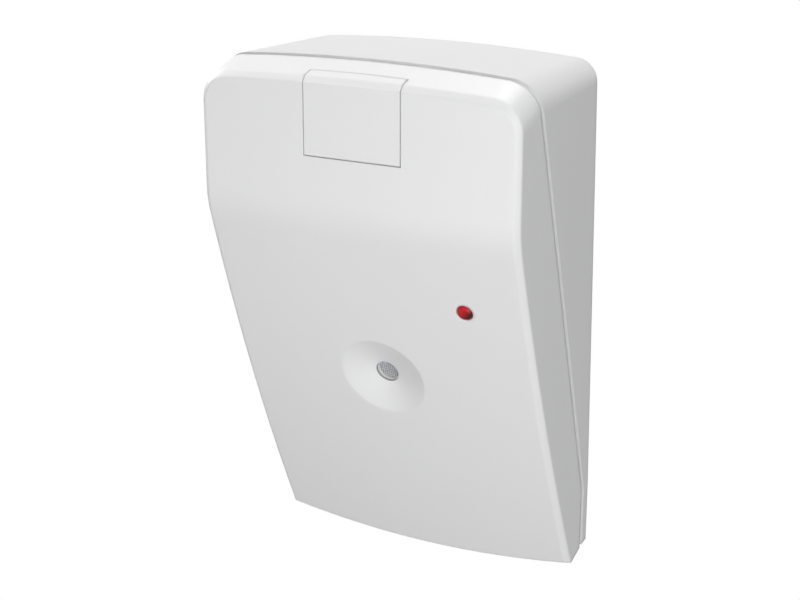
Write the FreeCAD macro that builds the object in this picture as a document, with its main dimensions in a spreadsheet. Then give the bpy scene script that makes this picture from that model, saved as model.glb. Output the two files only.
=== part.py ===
import FreeCAD, Part
import math
import os
import re
import Sketcher

# Glass break sensor for a wall: a drafted rear housing and a wedge-shaped front cover
# that meet on a slanted parting line, with the circuit board on that slant between them.
# X runs to the right seen from the front, +Y into the wall, +Z up. The wall is y = 0.
# Heights count from the lower side corners of the housing, the foot; each sub-part's
# placement then puts the origin at the middle of the four wall screws.

Vector = FreeCAD.Vector
document = FreeCAD.newDocument("GlassBreakSensor")
sheet = document.addObject("Spreadsheet::Sheet", "Sizes")

sizes = {
    # Housing from the front
    "case_width": 66.0,
    "case_height": 102.0,
    "top_arch": 1.4,
    "bottom_arch": 3.0,
    "corner_radius": 6.0,
    "mount_height": 50.0,
    # Housing from the side
    "case_depth": 40.0,
    "foot_depth": 11.0,
    "brow_height": 74.5,
    "brow_radius": 20.0,
    "slope_rise": 1.4,
    "edge_bevel": 0.9,
    # Slanted parting line, with its upright foot
    "part_depth": 2.6,
    "kink_height": 13.0,
    "lean": 17.7,
    "rear_draft": 2.6,
    # Walls, shadow groove and tongue
    "cover_wall": 2.2,
    "rear_wall": 2.4,
    "back_wall": 2.2,
    "groove_width": 1.0,
    "groove_depth": 0.7,
    "seat_width": 0.6,
    "tongue_thickness": 1.1,
    "tongue_height": 1.6,
    "tongue_root": 1.5,
    "tongue_clearance": 0.1,
    "tongue_end_clearance": 0.2,
    "seam_gap": 0.02,
    # Hatch over the cover screw
    "hatch_width": 20.3,
    "hatch_low": 86.0,
    "hatch_return": 3.15,
    "hatch_gap": 0.25,
    "hatch_wall": 1.2,
    "hatch_leg_width": 5.0,
    "hatch_leg_clearance": 1.15,
    "ledge_width": 1.2,
    "ledge_thickness": 1.6,
    "well_width": 13.0,
    "well_low": 88.8,
    "well_high": 99.4,
    "well_wall": 1.6,
    "screw_height": 94.2,
    "well_depth": 7.5,
    "screw_floor": 2.0,
    "screw_boss_side": 8.0,
    "cover_screw_radius": 1.7,
    "cover_screw_length": 11.0,
    "cover_screw_head_radius": 3.3,
    "cover_screw_head_height": 2.2,
    "screw_clearance": 0.3,
    "pilot_clearance": 0.05,
    "pilot_spare": 1.0,
    "slot_margin": 0.7,
    "slot_width": 0.7,
    "slot_depth": 1.0,
    # Microphone
    "microphone_along": 33.5,
    "dish_radius": 9.25,
    "dish_depth": 2.0,
    "sound_hole_radius": 2.4,
    "sound_floor": 0.9,
    "screen_thickness": 0.3,
    "boot_side": 11.6,
    "boot_clearance": 0.15,
    "socket_wall": 1.5,
    "socket_depth": 5.0,
    "capsule_radius": 4.85,
    "capsule_height": 6.5,
    "capsule_clearance": 0.05,
    "lead_side": 0.5,
    "lead_spread": 1.27,
    # Indicator lamp
    "lamp_across": 20.5,
    "lamp_along": 53.0,
    "lamp_radius": 1.6,
    "lamp_tip_radius": 1.2,
    "lamp_tip_height": 0.5,
    "lamp_length": 5.3,
    "lamp_flange_radius": 2.0,
    "lamp_flange_height": 1.0,
    "lamp_clearance": 0.08,
    "lamp_proud": 0.3,
    "spacer_side": 5.0,
    "spacer_bore": 3.3,
    # Wall fixing and cable entry
    "fixing_spread": 44.0,
    "fixing_rise": 82.0,
    "fixing_radius": 2.25,
    "entry_width": 18.0,
    "entry_height": 8.0,
    "entry_centre": 70.0,
    # Circuit board and its bosses
    "board_width": 52.0,
    "board_low": 8.0,
    "board_high": 76.0,
    "board_thickness": 1.6,
    "board_out": -0.8,
    "board_corner": 1.5,
    "boss_side_margin": 4.0,
    "boss_end_margin": 4.5,
    "boss_side": 6.0,
    "board_screw_radius": 1.25,
    "board_hole_clearance": 0.15,
    "board_screw_length": 5.4,
    "board_screw_head_radius": 2.4,
    "board_screw_head_height": 1.8,
    # Terminal block
    "terminal_along": 70.3,
    "terminal_depth": 8.0,
    "terminal_height": 8.5,
    "terminal_pitch": 5.0,
    "terminal_end": 0.3,
    "terminal_bevel": 1.8,
    "cell_width": 3.8,
    "cell_height": 4.6,
    "cell_floor": 0.9,
    "cell_back_wall": 1.6,
    "cell_clearance": 0.1,
    "shaft_width": 3.4,
    "clamp_wall": 0.6,
    "terminal_screw_radius": 1.5,
    "terminal_screw_length": 2.2,
    "terminal_slot_width": 0.5,
    "terminal_slot_depth": 0.7,
    # Alarm relay
    "relay_across": -14.0,
    "relay_along": 58.0,
    "relay_length": 15.0,
    "relay_width": 7.6,
    "relay_height": 9.5,
    "relay_edge": 0.5,
    # Tamper switch
    "tamper_across": 19.0,
    "tamper_along": 63.5,
    "tamper_side": 6.2,
    "tamper_height": 5.0,
    "tamper_lid": 0.8,
    "tamper_chamber_side": 5.2,
    "plunger_radius": 1.7,
    "plunger_clearance": 0.08,
    "plunger_top": 6.0,
    "plunger_flange_side": 4.9,
    "plunger_flange_height": 0.8,
    "plunger_pressed": 1.0,
    "post_side": 3.6,
    # Sensitivity trimmer
    "trimmer_across": -18.0,
    "trimmer_along": 44.5,
    "trimmer_side": 6.8,
    "trimmer_height": 4.2,
    "rotor_radius": 2.3,
    "rotor_height": 3.2,
    "rotor_clearance": 0.06,
    "rotor_slot_width": 0.6,
    "rotor_slot_depth": 0.8,
    "rotor_slot_length": 3.6,
    # Chips, crystal and regulator
    "processor_across": 5.0,
    "processor_along": 50.5,
    "processor_length": 8.7,
    "processor_pins": 7,
    "amplifier_across": 15.0,
    "amplifier_along": 36.0,
    "amplifier_length": 4.9,
    "amplifier_pins": 4,
    "chip_width": 3.9,
    "chip_height": 1.5,
    "chip_lift": 0.15,
    "pin_pitch": 1.27,
    "pin_width": 0.42,
    "pin_reach": 1.05,
    "pin_thickness": 0.2,
    "crystal_across": 4.0,
    "crystal_along": 59.5,
    "crystal_length": 11.0,
    "crystal_width": 4.6,
    "crystal_height": 3.5,
    "crystal_edge": 0.8,
    "regulator_across": -17.0,
    "regulator_along": 33.0,
    "regulator_radius": 2.4,
    "regulator_flat": 1.3,
    "regulator_height": 4.6,
    # Capacitors and diode
    "supply_across": -17.0,
    "supply_along": 22.0,
    "supply_radius": 3.15,
    "supply_height": 9.0,
    "coupling_across": -6.0,
    "coupling_along": 18.0,
    "coupling_radius": 2.5,
    "coupling_height": 7.0,
    "diode_across": 7.0,
    "diode_along": 15.5,
    "diode_length": 4.3,
    "diode_width": 2.6,
    "diode_height": 2.2,
    "diode_edge": 0.3,
    "diode_tab_reach": 0.9,
    "diode_tab_width": 1.5,
    "diode_tab_thickness": 0.3,
    # Jumper header
    "header_across": 14.0,
    "header_along": 25.0,
    "header_pitch": 2.54,
    "header_base": 2.5,
    "header_pin_side": 0.64,
    "header_pin_height": 8.0,
    "jumper_roof": 0.6,
    "jumper_gap": 0.1,
    # How far working blocks reach past the housing
    "reach": 20.0,
}

for row, (name, value) in enumerate(sizes.items(), start=1):
    sheet.set(f"A{row}", name)
    sheet.set(f"B{row}", str(value))
    sheet.setAlias(f"B{row}", name)
document.recompute()


def work_out(name, text):
    """Adds a value worked out from the sizes to the sheet, under a name of its own."""
    row = len(sizes) + 1
    sheet.set(f"A{row}", name)
    sheet.set(f"B{row}", f"={text}")
    sheet.setAlias(f"B{row}", name)
    sizes[name] = text
    document.recompute()


def formula(text):
    """Writes a formula's size names as the cells of the sheet."""
    def cell(word):
        return f"Sizes.{word[0]}" if word[0] in sizes else word[0]

    return re.sub(r"[a-z_]+", cell, str(text))


def size(text):
    """Works out a formula in millimetres or degrees."""
    return float(sheet.evalExpression(formula(text)))


def tie(thing, name, text):
    """Binds a property to a formula of the sheet."""
    thing.setExpression(name, formula(text))


# Placements

def stand(thing, across="0", depth="0", height="0"):
    """Stands a thing upright at a place counted from the foot."""
    tie(thing, "Placement.Base.x", across)
    tie(thing, "Placement.Base.y", f"-({depth})")
    tie(thing, "Placement.Base.z", f"({height}) - mount_height")
    return thing


def face_front(thing, across, depth, height):
    """Points a thing's own Z axis straight out of the wall."""
    thing.Placement = FreeCAD.Placement(Vector(0, 0, 0), FreeCAD.Rotation(Vector(1, 0, 0), 90))
    return stand(thing, across, depth, height)


def slant(thing, across="0", along="0", out="0"):
    """Lays a thing on the slanted parting plane: along runs up it, out points to the front."""
    thing.Placement = FreeCAD.Placement(Vector(0, 0, 0), FreeCAD.Rotation(Vector(1, 0, 0), 90))
    tie(thing, "Placement.Rotation.Angle", "90 + lean")
    return stand(thing, across, slant_depth(along, out), slant_height(along, out))


def slant_depth(along, out):
    """Depth off the wall of a place on the slanted plane."""
    return f"(part_depth + ({along}) * sin(lean) + ({out}) * cos(lean))"


def slant_height(along, out):
    """Height over the foot of a place on the slanted plane."""
    return f"(kink_height + ({along}) * cos(lean) - ({out}) * sin(lean))"


# Sketches and features

def open_body(name):
    return document.addObject("PartDesign::Body", name)


def open_sketch(body, plane_role, lift="0"):
    """Opens a sketch on one of the body's own planes, lifted off it along its normal."""
    sketch = body.newObject("Sketcher::SketchObject", body.Name + "_sketch")
    plane = next(feature for feature in body.Origin.OriginFeatures if feature.Role == plane_role)
    sketch.AttachmentSupport = [(plane, "")]
    sketch.MapMode = "FlatFace"
    tie(sketch, "AttachmentOffset.Base.z", lift)
    return sketch


def pin_point(sketch, geometry, end, across, upward):
    """Holds one point of the sketch at two formulas."""
    for kind, text in (("DistanceX", across), ("DistanceY", upward)):
        index = sketch.addConstraint(Sketcher.Constraint(kind, -1, 1, geometry, end, size(text)))
        tie(sketch, f"Constraints[{index}]", text)


def draw_outline(sketch, corners, arcs=None):
    """Joins corners, anticlockwise, into one outline. A side with a radius is an outward arc."""
    arcs = arcs or {}
    places = [Vector(size(across), size(upward), 0) for across, upward in corners]
    first = sketch.GeometryCount
    for side, start in enumerate(places):
        end = places[(side + 1) % len(places)]
        if side in arcs:
            radius = size(arcs[side])
            rise = radius - math.sqrt(radius ** 2 - ((end - start).Length / 2) ** 2)
            outward = Vector(end.y - start.y, start.x - end.x, 0).normalize()
            sketch.addGeometry(Part.Arc(start, (start + end) * 0.5 + outward * rise, end))
        else:
            sketch.addGeometry(Part.LineSegment(start, end))
    for side, (across, upward) in enumerate(corners):
        following = (side + 1) % len(corners)
        sketch.addConstraint(Sketcher.Constraint("Coincident", first + side, 2, first + following, 1))
        pin_point(sketch, first + side, 1, across, upward)
    for side, radius in arcs.items():
        index = sketch.addConstraint(Sketcher.Constraint("Radius", first + side, size(radius)))
        tie(sketch, f"Constraints[{index}]", radius)


def draw_box(sketch, left, right, low, high):
    draw_outline(sketch, [(left, low), (right, low), (right, high), (left, high)])


def draw_circle(sketch, across, upward, radius):
    centre = Vector(size(across), size(upward), 0)
    geometry = sketch.addGeometry(Part.Circle(centre, Vector(0, 0, 1), size(radius)))
    pin_point(sketch, geometry, 3, across, upward)
    index = sketch.addConstraint(Sketcher.Constraint("Radius", geometry, size(radius)))
    tie(sketch, f"Constraints[{index}]", radius)


def pad(body, sketch, length, side="One side"):
    feature = body.newObject("PartDesign::Pad", body.Name + "_pad")
    feature.Profile = sketch
    feature.SideType = side
    tie(feature, "Length", length)
    body.Tip = feature
    return feature


def pocket(body, sketch, length, side="One side", backwards=False):
    """Cuts a sketch into the body, and checks that it took something away."""
    document.recompute()
    before = body.Shape.Volume
    feature = body.newObject("PartDesign::Pocket", body.Name + "_pocket")
    feature.Profile = sketch
    feature.SideType = side
    feature.Reversed = backwards
    tie(feature, "Length", length)
    body.Tip = feature
    document.recompute()
    if feature.Shape.Volume >= before:
        raise ValueError(f"{feature.Name} cuts nothing")
    return feature


def revolve(body, sketch):
    """Turns a sketch a full circle about its own upright axis."""
    feature = body.newObject("PartDesign::Revolution", body.Name + "_revolution")
    feature.Profile = sketch
    feature.ReferenceAxis = (sketch, ["V_Axis"])
    feature.Angle = 360
    body.Tip = feature
    return feature


def work_edges(body, kind, width, wanted):
    """Rounds or bevels the edges of the body's last feature that the test picks out."""
    document.recompute()
    base = body.Tip
    names = [f"Edge{index}" for index, edge in enumerate(base.Shape.Edges, 1) if wanted(edge)]
    feature = body.newObject(f"PartDesign::{kind}", f"{body.Name}_{kind.lower()}")
    feature.Base = (base, names)
    tie(feature, "Radius" if kind == "Fillet" else "Size", width)
    body.Tip = feature
    return feature


def taper_sides(body, angle):
    """Widens the body's last feature from its back face forward, the same on every side."""
    document.recompute()
    base = body.Tip
    faces = [(f"Face{index}", face) for index, face in enumerate(base.Shape.Faces, 1)]
    back = max(faces, key=lambda item: item[1].CenterOfMass.y)
    front = min(faces, key=lambda item: item[1].CenterOfMass.y)
    feature = body.newObject("PartDesign::Draft", body.Name + "_draft")
    feature.Base = (base, [name for name, face in faces if name not in (back[0], front[0])])
    feature.NeutralPlane = (base, [back[0]])
    tie(feature, "Angle", angle)
    body.Tip = feature
    return feature


def repeat_along_x(body, originals, sketch, count, pitch):
    """Repeats features along the sketch's own X axis."""
    feature = body.newObject("PartDesign::LinearPattern", body.Name + "_pattern")
    feature.Originals = originals
    feature.Direction = (sketch, ["H_Axis"])
    tie(feature, "Length", f"({pitch}) * (({count}) - 1)")
    tie(feature, "Occurrences", count)
    body.Tip = feature
    return feature


def rod(name, radius, length):
    """A cylinder along its own Z axis."""
    cylinder = document.addObject("Part::Cylinder", name)
    tie(cylinder, "Radius", radius)
    tie(cylinder, "Height", length)
    return cylinder


def brick(name, left, right, back, front, low, high):
    """An upright box between two places across, two depths off the wall and two heights."""
    box = document.addObject("Part::Box", name)
    tie(box, "Length", f"({right}) - ({left})")
    tie(box, "Width", f"({front}) - ({back})")
    tie(box, "Height", f"({high}) - ({low})")
    return stand(box, left, front, low)


def square_post(name, side, start, top, across, along):
    """A square post that stands on the slanted plane, between two places out of it."""
    box = document.addObject("Part::Box", name)
    tie(box, "Length", side)
    tie(box, "Width", side)
    tie(box, "Height", f"({top}) - ({start})")
    return slant(box, f"{across} - ({side}) / 2", f"{along} - ({side}) / 2", start)


def join(name, parts):
    fuse = document.addObject("Part::MultiFuse", name)
    fuse.Shapes = parts
    return fuse


def overlap(name, parts):
    common = document.addObject("Part::MultiCommon", name)
    common.Shapes = parts
    return common


def cut(name, base, tools):
    """Takes the tools away from the base, as one union where there are several."""
    result = document.addObject("Part::Cut", name)
    result.Base = base
    result.Tool = tools[0] if len(tools) == 1 else join(name + "_tools", tools)
    return result


def group(name, pieces):
    """Keeps like pieces as separate solids of one sub-part."""
    compound = document.addObject("Part::Compound", name)
    compound.Links = pieces
    return compound


# Forms of the housing

def arc_radius(half, rise):
    """Radius of an arc from half its chord and its rise."""
    return f"((({half})^2 + ({rise})^2) / (2 * ({rise})))"


def inner_arch(half, rise, inset):
    """How far an arched side's corners move in with an inset, and the arc's radius there."""
    radius = arc_radius(half, rise)
    drop = f"sqrt(({radius} - ({inset}))^2 - (({half}) - ({inset}))^2)"
    return f"({radius} - ({rise}) - {drop})", f"({radius} - ({inset}))"


def drafted_outline(name, start, inset, corner_kind):
    """The rear housing's outline from a depth forward, widening with its draft."""
    body = open_body(name)
    foot_draft = f"((part_depth - ({start})) * tan(rear_draft))"
    top_depth = "(part_depth + (case_height - kink_height) * tan(lean))"
    top_draft = f"(({top_depth} - ({start})) * tan(rear_draft))"
    foot_half = f"(case_width / 2 - {foot_draft})"
    top_half = f"(case_width / 2 - {top_draft})"
    foot_shift, foot_radius = inner_arch(foot_half, "bottom_arch", inset)
    top_shift, top_radius = inner_arch(top_half, "top_arch", inset)
    low = f"{foot_draft} + {foot_shift}"
    high = f"case_height - {top_draft} - {top_shift}"
    foot = f"({foot_half} - ({inset}))"
    top = f"({top_half} - ({inset}))"
    sketch = open_sketch(body, "XZ_Plane", start)
    corners = [(f"-{foot}", low), (foot, low), (foot, "kink_height"), (top, high)]
    corners += [(f"-{top}", high), (f"-{foot}", "kink_height")]
    draw_outline(sketch, corners, {0: foot_radius, 3: top_radius})
    pad(body, sketch, "case_depth")
    level = size("case_height") / 2
    reach = size("case_depth") / 2

    def upper_corner(edge):
        first, last = edge.Vertexes[0].Point, edge.Vertexes[-1].Point
        return abs(first.y - last.y) > reach and min(first.z, last.z) > level

    work_edges(body, corner_kind, f"corner_radius - ({inset}) - {top_draft}", upper_corner)
    taper_sides(body, "rear_draft")
    return stand(body)


def slanted_outline(name, inset):
    """The cover's outline as a straight prism square to the parting plane."""
    body = open_body(name)
    half = "(case_width / 2)"
    foot_shift, foot_radius = inner_arch(half, "bottom_arch * cos(lean)", inset)
    top_shift, top_radius = inner_arch(half, "top_arch / cos(lean)", inset)
    side = f"({half} - ({inset}))"
    low = f"-kink_height * cos(lean) + {foot_shift}"
    high = f"(case_height - kink_height) / cos(lean) - {top_shift}"
    sketch = open_sketch(body, "XY_Plane", "-case_depth")
    corners = [(f"-{side}", low), (side, low), (side, high), (f"-{side}", high)]
    draw_outline(sketch, corners, {0: foot_radius, 2: top_radius})
    pad(body, sketch, "case_depth * 3")
    level = size("case_height") / 2
    reach = size("case_depth")

    def upper_corner(edge):
        first, last = edge.Vertexes[0].Point, edge.Vertexes[-1].Point
        return abs(first.z - last.z) > reach and min(first.y, last.y) > level

    work_edges(body, "Fillet", f"corner_radius - ({inset})", upper_corner)
    return slant(body)


def ahead_of_parting(name, offset):
    """Everything in front of the kinked parting profile, moved out by an offset."""
    body = open_body(name)
    top = "(case_height + reach)"
    front = "-(case_depth + reach)"
    low_depth = f"-(part_depth + ({offset}))"
    bend = f"kink_height - ({offset}) * tan(lean / 2)"
    top_depth = f"-(part_depth + ({offset}) / cos(lean) + ({top} - kink_height) * tan(lean))"
    sketch = open_sketch(body, "YZ_Plane")
    corners = [(low_depth, "-reach"), (low_depth, bend), (top_depth, top), (front, top), (front, "-reach")]
    draw_outline(sketch, corners)
    pad(body, sketch, "case_width + reach", "Symmetric")
    return stand(body)


work_out("slope_chord", "sqrt((case_depth - foot_depth)^2 + brow_height^2)")
work_out("slope_radius", arc_radius("slope_chord / 2", "slope_rise"))
work_out("slope_set_back", "(slope_radius - slope_rise) / slope_chord")
work_out("ball_depth", "(case_depth + foot_depth) / 2 - slope_set_back * brow_height")
work_out("ball_height", "brow_height / 2 + slope_set_back * (case_depth - foot_depth)")
work_out("brow_drop", "sqrt((slope_radius - brow_radius)^2 - (case_depth - brow_radius - ball_depth)^2)")


def front_form(name, inset):
    """Everything behind the bowed front face, less an inset.

    From the side the face is upright, rounds the brow and runs down a convex slope. The
    profile is turned a little each way about the upright axis through the slope's far
    centre, so the slope is part of one large ball.
    """
    body = open_body(name)
    face = f"-(case_depth - ({inset}))"
    share = f"((slope_radius - ({inset})) / (slope_radius - brow_radius))"
    join_depth = f"(ball_depth + (case_depth - brow_radius - ball_depth) * {share})"
    join_height = f"(ball_height - brow_drop * {share})"
    low, high, behind = "-reach / 2", "(case_height + reach)", "reach"
    low_run = f"sqrt((slope_radius - ({inset}))^2 - (ball_height - ({low}))^2)"
    corners = [(f"-(ball_depth + {low_run})", low), (behind, low), (behind, high), (face, high),
               (face, "ball_height - brow_drop"), (f"-{join_depth}", join_height)]
    sketch = open_sketch(body, "YZ_Plane")
    draw_outline(sketch, corners, {4: f"brow_radius - ({inset})", 5: f"slope_radius - ({inset})"})
    foot, head = Vector(size("-ball_depth"), 0, 0), Vector(size("-ball_depth"), size(high), 0)
    axis = sketch.addGeometry(Part.LineSegment(foot, head), True)
    pin_point(sketch, axis, 1, "-ball_depth", "0")
    pin_point(sketch, axis, 2, "-ball_depth", high)
    feature = body.newObject("PartDesign::Revolution", name + "_turn")
    feature.Profile = sketch
    feature.ReferenceAxis = (sketch, ["Axis0"])
    feature.Midplane = True
    tie(feature, "Angle", "2 * asin((case_width + reach) / 2 / (case_depth - ball_depth))")
    body.Tip = feature
    return stand(body)


def front_out(across, along, inset):
    """How far out of the parting plane the front's slope, less an inset, lies at a place."""
    depth = f"({slant_depth(along, '0')} - ball_depth)"
    height = f"({slant_height(along, '0')} - ball_height)"
    towards = f"({depth} * cos(lean) - {height} * sin(lean))"
    away = f"({depth}^2 + {height}^2 + ({across})^2 - {towards}^2)"
    return f"sqrt((slope_radius - ({inset}))^2 - {away}) - {towards}"


# Places shared by several pieces, in formulas

tongue_out = "groove_depth + seat_width"
tongue_in = f"({tongue_out} + tongue_thickness)"
tongue_top = "(groove_width + tongue_height)"
board_front = "(board_out + board_thickness)"
hatch_floor = "(case_depth - hatch_return)"
screw_seat = "(case_depth - well_depth)"
well_back = f"({screw_seat} - screw_floor)"
screw_stem = "(cover_screw_radius + screw_clearance)"
back_middle = "(back_wall / 2)"


# Forms cut from and shared by the two housings

outer_front = front_form("outer_front", "0")
inner_front = front_form("inner_front", "cover_wall")
middle_front = front_form("middle_front", "cover_wall / 2")
outer_prism = slanted_outline("outer_prism", "0")
middle_prism = slanted_outline("middle_prism", "cover_wall / 2")
inner_prism = slanted_outline("inner_prism", "cover_wall")
ahead_of_groove = ahead_of_parting("ahead_of_groove", "groove_width + seam_gap")

work_out("microphone_face", front_out("0", "microphone_along", "0"))
work_out("lamp_face", front_out("lamp_across", "lamp_along", "0"))
work_out("post_face", front_out("tamper_across", "tamper_along", "cover_wall / 2"))
work_out("dish_lean", "asin((ball_height - "
         + slant_height("microphone_along", "microphone_face") + ") / slope_radius) / 1deg")

screen_front = "(microphone_face - dish_depth - sound_floor)"
boot_front = f"({screen_front} - screen_thickness)"
socket_bore_side = "(boot_side + boot_clearance * 2)"
capsule_back = f"({boot_front} - capsule_height)"
lamp_tip = "(lamp_face + lamp_proud)"
lamp_base = f"({lamp_tip} - lamp_length)"


# Front cover

def bevelled_cover():
    """The cover's outer form with its front edge bevelled all the way round."""
    blunt = overlap("blunt_cover", [outer_prism, outer_front, ahead_of_groove])
    document.recompute()
    sides = Part.Compound(outer_prism.Shape.Faces)
    front = Part.Compound(outer_front.Shape.Faces)
    near, width = size("seam_gap"), size("edge_bevel")
    edges = []
    for index, edge in enumerate(blunt.Shape.Edges, 1):
        middle = Part.Vertex(edge.valueAt((edge.FirstParameter + edge.LastParameter) / 2))
        if max(sides.distToShape(middle)[0], front.distToShape(middle)[0]) < near:
            edges.append((index, width, width))
    bevel = document.addObject("Part::Chamfer", "cover_outside")
    bevel.Base = blunt
    bevel.Edges = edges
    return bevel


cover_outside = bevelled_cover()


def dish():
    """A cone square to the face that narrows to the sound hole, ended inside that hole."""
    spread = "((dish_radius - sound_hole_radius) / dish_depth)"
    tip_depth = f"(dish_depth + sound_hole_radius / 2 / {spread})"
    cone = document.addObject("Part::Cone", "dish")
    tie(cone, "Radius1", "sound_hole_radius / 2")
    tie(cone, "Radius2", f"dish_radius + {spread} * dish_depth")
    tie(cone, "Height", f"{tip_depth} + dish_depth")
    cone.Placement = FreeCAD.Placement(Vector(0, 0, 0), FreeCAD.Rotation(Vector(1, 0, 0), 90))
    tie(cone, "Placement.Rotation.Angle", "90 + dish_lean")
    depth = f"{slant_depth('microphone_along', 'microphone_face')} - {tip_depth} * cos(dish_lean)"
    height = f"{slant_height('microphone_along', 'microphone_face')} + {tip_depth} * sin(dish_lean)"
    return stand(cone, "0", depth, height)


def cover_additions():
    """Ledge and well behind the hatch, microphone socket and tamper post, ended inside the wall."""
    side = "(hatch_width / 2 + ledge_width)"
    top = "(case_height + reach)"
    ledge_back = f"{hatch_floor} - ledge_thickness"
    ledge = brick("ledge", f"-{side}", side, ledge_back, "case_depth", "hatch_low - ledge_width", top)
    well_side = "(well_width / 2 + well_wall)"
    well = brick("well", f"-{well_side}", well_side, well_back, "case_depth",
                 "well_low - well_wall", "well_high + well_wall")
    socket_start = f"{screen_front} - socket_depth"
    socket = square_post("socket", f"({socket_bore_side} + socket_wall * 2)", socket_start,
                         f"{screen_front} + reach", "0", "microphone_along")
    post_start = f"({board_front} + plunger_top)"
    post = square_post("post", "post_side", post_start, "post_face", "tamper_across", "tamper_along")
    inside = overlap("inside_wall", [middle_prism, middle_front, ahead_of_groove])
    return overlap("cover_additions", [join("cover_blocks", [ledge, well, socket, post]), inside])


def front_cover():
    hollow = overlap("cover_hollow", [inner_prism, inner_front])
    shell = cut("cover_shell", cover_outside, [hollow])
    body = join("cover_body", [shell, cover_additions()])
    beyond_tongue = ahead_of_parting("beyond_tongue", f"{tongue_top} + tongue_end_clearance")
    within_tongue = slanted_outline("within_tongue", f"{tongue_in} + tongue_clearance")
    rebate_prism = slanted_outline("rebate_prism", f"{tongue_out} - tongue_clearance")
    rebate = cut("rebate", rebate_prism, [beyond_tongue, within_tongue])
    notch = brick("notch", "-hatch_width / 2", "hatch_width / 2", hatch_floor, "case_depth + reach",
                  "hatch_low", "case_height + reach")
    cavity = brick("cavity", "-well_width / 2", "well_width / 2", screw_seat, "case_depth",
                   "well_low", "well_high")
    stem = face_front(rod("cover_screw_hole", screw_stem, "screw_floor * 3"),
                      "0", f"{well_back} - screw_floor", "screw_height")
    sound_hole = slant(rod("sound_hole", "sound_hole_radius", "reach"), "0", "microphone_along",
                       f"{screen_front} - sound_floor")
    socket_bore = square_post("socket_bore", socket_bore_side, f"{screen_front} - reach", screen_front,
                              "0", "microphone_along")
    lamp_hole = slant(rod("lamp_hole", "lamp_radius + lamp_clearance", "reach"), "lamp_across", "lamp_along",
                      "lamp_face - reach / 2")
    cuts = [rebate, notch, cavity, stem, dish(), sound_hole, socket_bore, lamp_hole]
    return cut("front_cover", body, cuts)


def screw_hatch():
    """A square cap that carries on the cover's face and bevelled top edge, with two snap legs."""
    side = "(hatch_width / 2 - hatch_gap)"
    low = "(hatch_low + hatch_gap)"
    back = f"({hatch_floor} + seam_gap)"
    place = brick("hatch_place", f"-{side}", side, back, "case_depth + reach", low, "case_height + reach")
    plate = overlap("hatch_plate", [cover_outside, place])
    inner_side = f"({side} - hatch_wall)"
    thin_front = front_form("hatch_inner_front", "hatch_wall")
    thin_prism = slanted_outline("hatch_inner_prism", "hatch_wall")
    hollow = brick("hatch_hollow", f"-{inner_side}", inner_side, back, "case_depth + reach",
                   f"{low} + hatch_wall", "case_height + reach")
    shell = cut("hatch_shell", plate, [overlap("hatch_inside", [hollow, thin_front, thin_prism])])
    outer = "(well_width / 2 - hatch_gap)"
    middle = "((well_low + well_high) / 2)"
    legs = []
    for left, right in ((f"-{outer}", f"-{outer} + hatch_wall"), (f"{outer} - hatch_wall", outer)):
        legs.append(brick(f"hatch_leg_{len(legs)}", left, right, f"{screw_seat} + hatch_leg_clearance",
                          "case_depth - hatch_wall / 2",
                          f"{middle} - hatch_leg_width / 2", f"{middle} + hatch_leg_width / 2"))
    return join("screw_hatch", [shell] + legs)


# Rear housing

def tongue_ring(name, inset, top):
    """A ring inside the rim, from a little below the parting plane up to its top."""
    outer, inner = slanted_outline(f"{name}_outer", inset), slanted_outline(f"{name}_inner", tongue_in)
    above_root = ahead_of_parting(f"{name}_root", "-tongue_root")
    rise = overlap(f"{name}_rise", [cut(f"{name}_ring", outer, [inner]), above_root])
    return cut(name, rise, [ahead_of_parting(f"{name}_top", top)])


def board_corners():
    """The four places that hold the board: screws at two corners, rests at the other two."""
    side = "(board_width / 2 - boss_side_margin)"
    low, high = "(board_low + boss_end_margin)", "(board_high - boss_end_margin)"
    return [("screw", f"-{side}", low), ("screw", side, high),
            ("rest", side, low), ("rest", f"-{side}", high)]


def rear_housing():
    ahead_of_rim = ahead_of_parting("ahead_of_rim", "0")
    cup = cut("rear_cup", drafted_outline("rear_outside", "0", "0", "Fillet"), [ahead_of_rim])
    hollow = drafted_outline("rear_hollow", "back_wall", "rear_wall", "Chamfer")
    shell = cut("rear_shell", cup, [hollow])
    bosses = [tongue_ring("step", "groove_depth", "groove_width")]
    bosses.append(tongue_ring("tongue", tongue_out, tongue_top))
    holes = []
    for index, (kind, across, along) in enumerate(board_corners()):
        start = f"(({back_middle} - part_depth - ({along}) * sin(lean)) / cos(lean))"
        name = f"board_{kind}_boss_{index}"
        bosses.append(square_post(name, "boss_side", start, "board_out", across, along))
        if kind == "screw":
            depth = "(board_screw_length - board_thickness + pilot_spare / 2)"
            pilot = rod(f"board_pilot_{index}", "board_screw_radius + pilot_clearance", depth)
            holes.append(slant(pilot, across, along, f"board_out - {depth}"))
    half = "screw_boss_side / 2"
    bosses.append(brick("screw_boss", f"-{half}", half, back_middle, f"{well_back} - seam_gap",
                        f"screw_height - {half}", f"screw_height + {half}"))
    pilot_depth = "(cover_screw_length - screw_floor + pilot_spare)"
    pilot = rod("cover_pilot", "cover_screw_radius + pilot_clearance", pilot_depth)
    holes.append(face_front(pilot, "0", f"{well_back} - {pilot_depth}", "screw_height"))
    for across in ("-fixing_spread / 2", "fixing_spread / 2"):
        for rise in ("-fixing_rise / 2", "fixing_rise / 2"):
            hole = rod(f"fixing_hole_{len(holes)}", "fixing_radius", "back_wall * 3")
            holes.append(face_front(hole, across, "-back_wall", f"mount_height + {rise}"))
    entry = brick("cable_entry", "-entry_width / 2", "entry_width / 2", "-back_wall", "back_wall * 2",
                  "entry_centre - entry_height / 2", "entry_centre + entry_height / 2")
    return cut("rear_housing", join("rear_body", [shell] + bosses), holes + [entry])


# Circuit board and what it carries

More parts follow.
